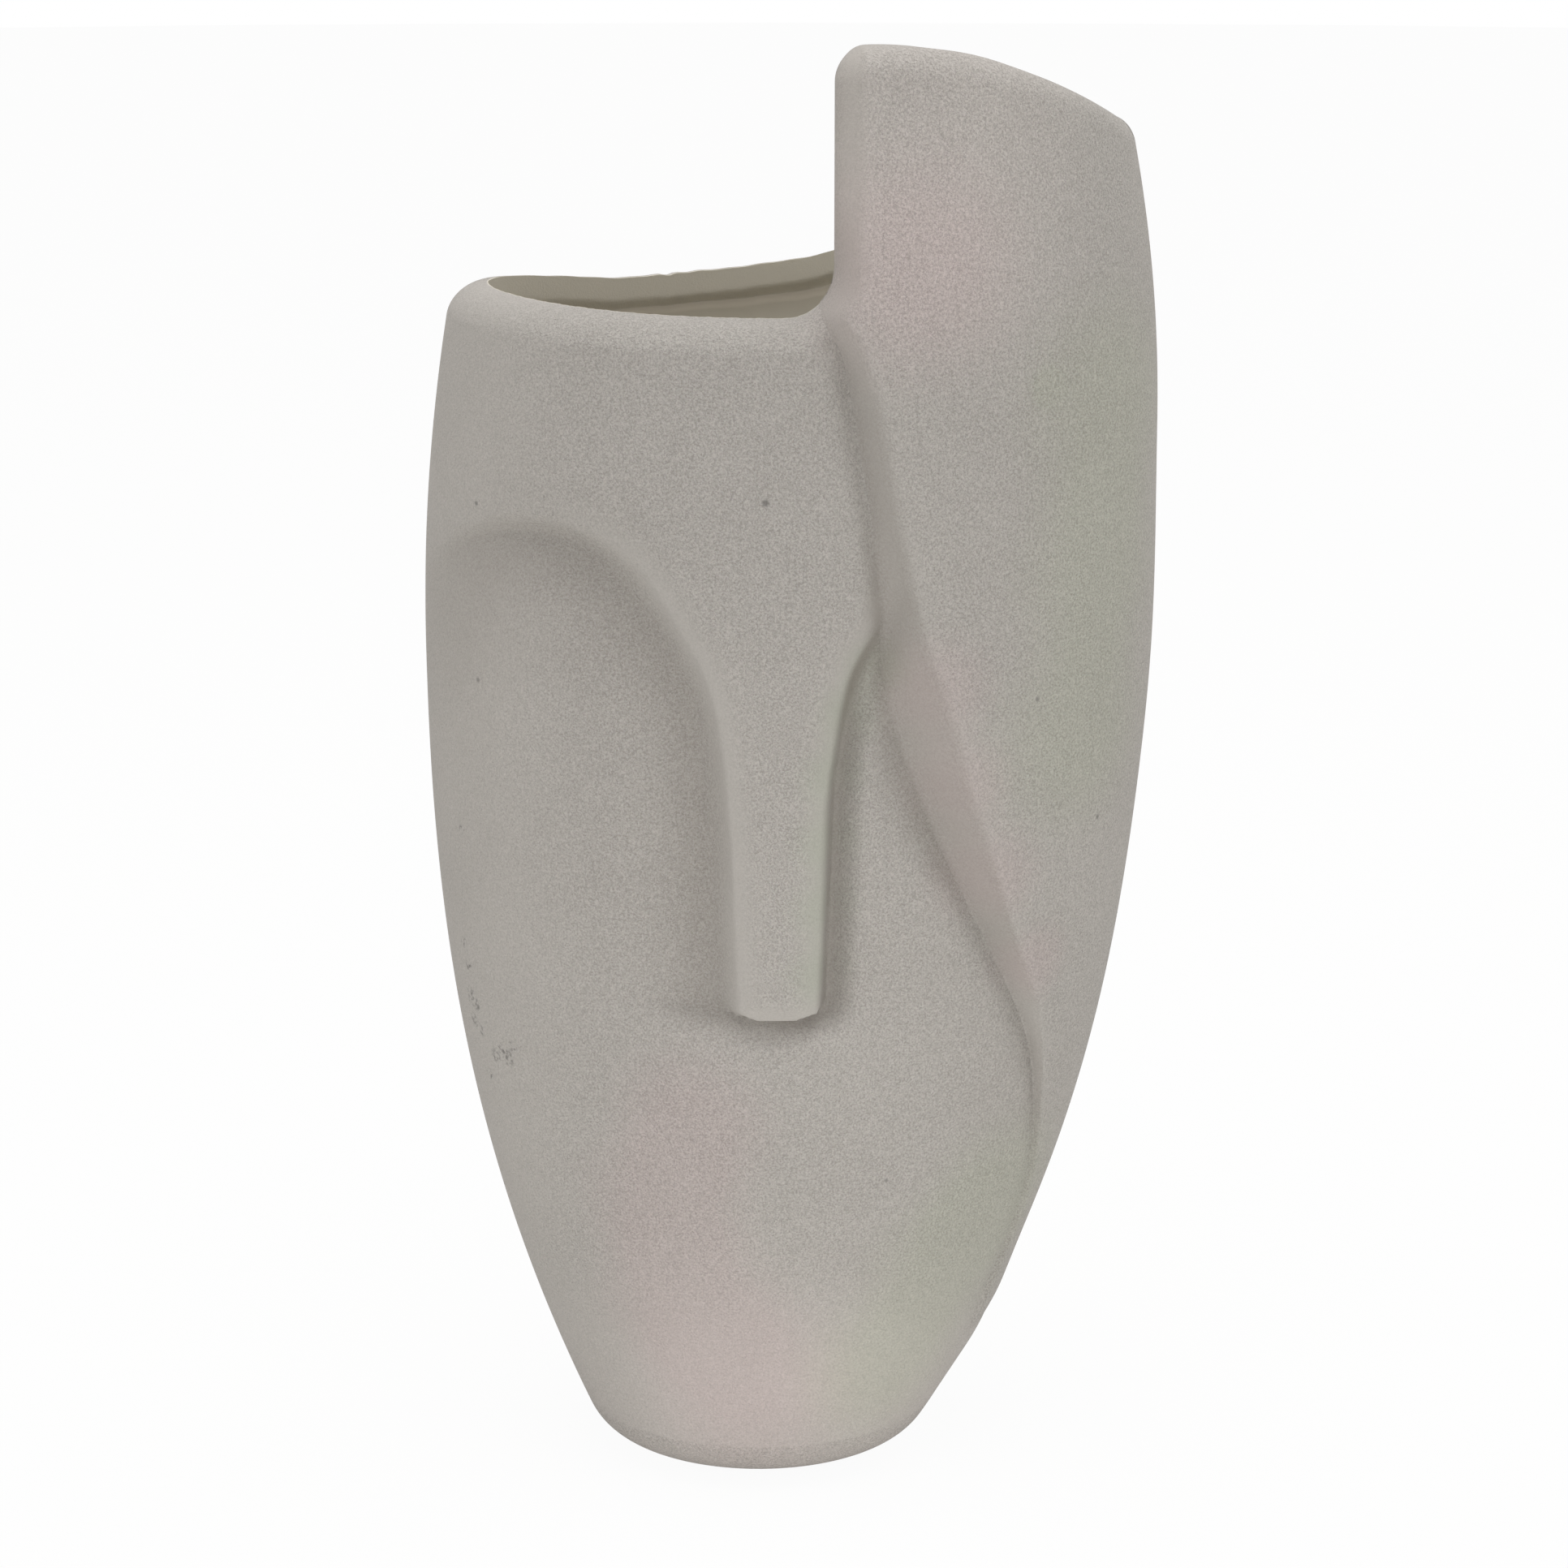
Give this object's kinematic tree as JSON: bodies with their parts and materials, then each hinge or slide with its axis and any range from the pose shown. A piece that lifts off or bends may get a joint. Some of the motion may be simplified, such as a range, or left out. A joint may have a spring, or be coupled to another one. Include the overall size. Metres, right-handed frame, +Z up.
{
  "type": "face vase",
  "caption": "Oval matt stoneware vase with an abstract face in relief, a low mouth on one side, a tall sweeping panel on the other and a glazed hollow for flowers.",
  "frame": {"origin": "on the table, at the middle of the footprint of the whole vase", "axes": "+Z up, -Y the way the face looks, +X towards the tall panel"},
  "size_m": [0.1338, 0.0892, 0.27],
  "materials": {
    "stoneware": "matt, fine sandy grain",
    "liner_glaze": "satin glaze",
    "felt": "pressed felt"
  },
  "bodies": {
    "root": {"face_wall": "stoneware", "back_wall": "stoneware", "floor_slab": "stoneware", "sweep_panel": "stoneware", "brow_plate": "stoneware", "nose_bar": "stoneware", "glaze_lining": "liner_glaze", "foot_pad": "felt"}
  },
  "joints": []
}
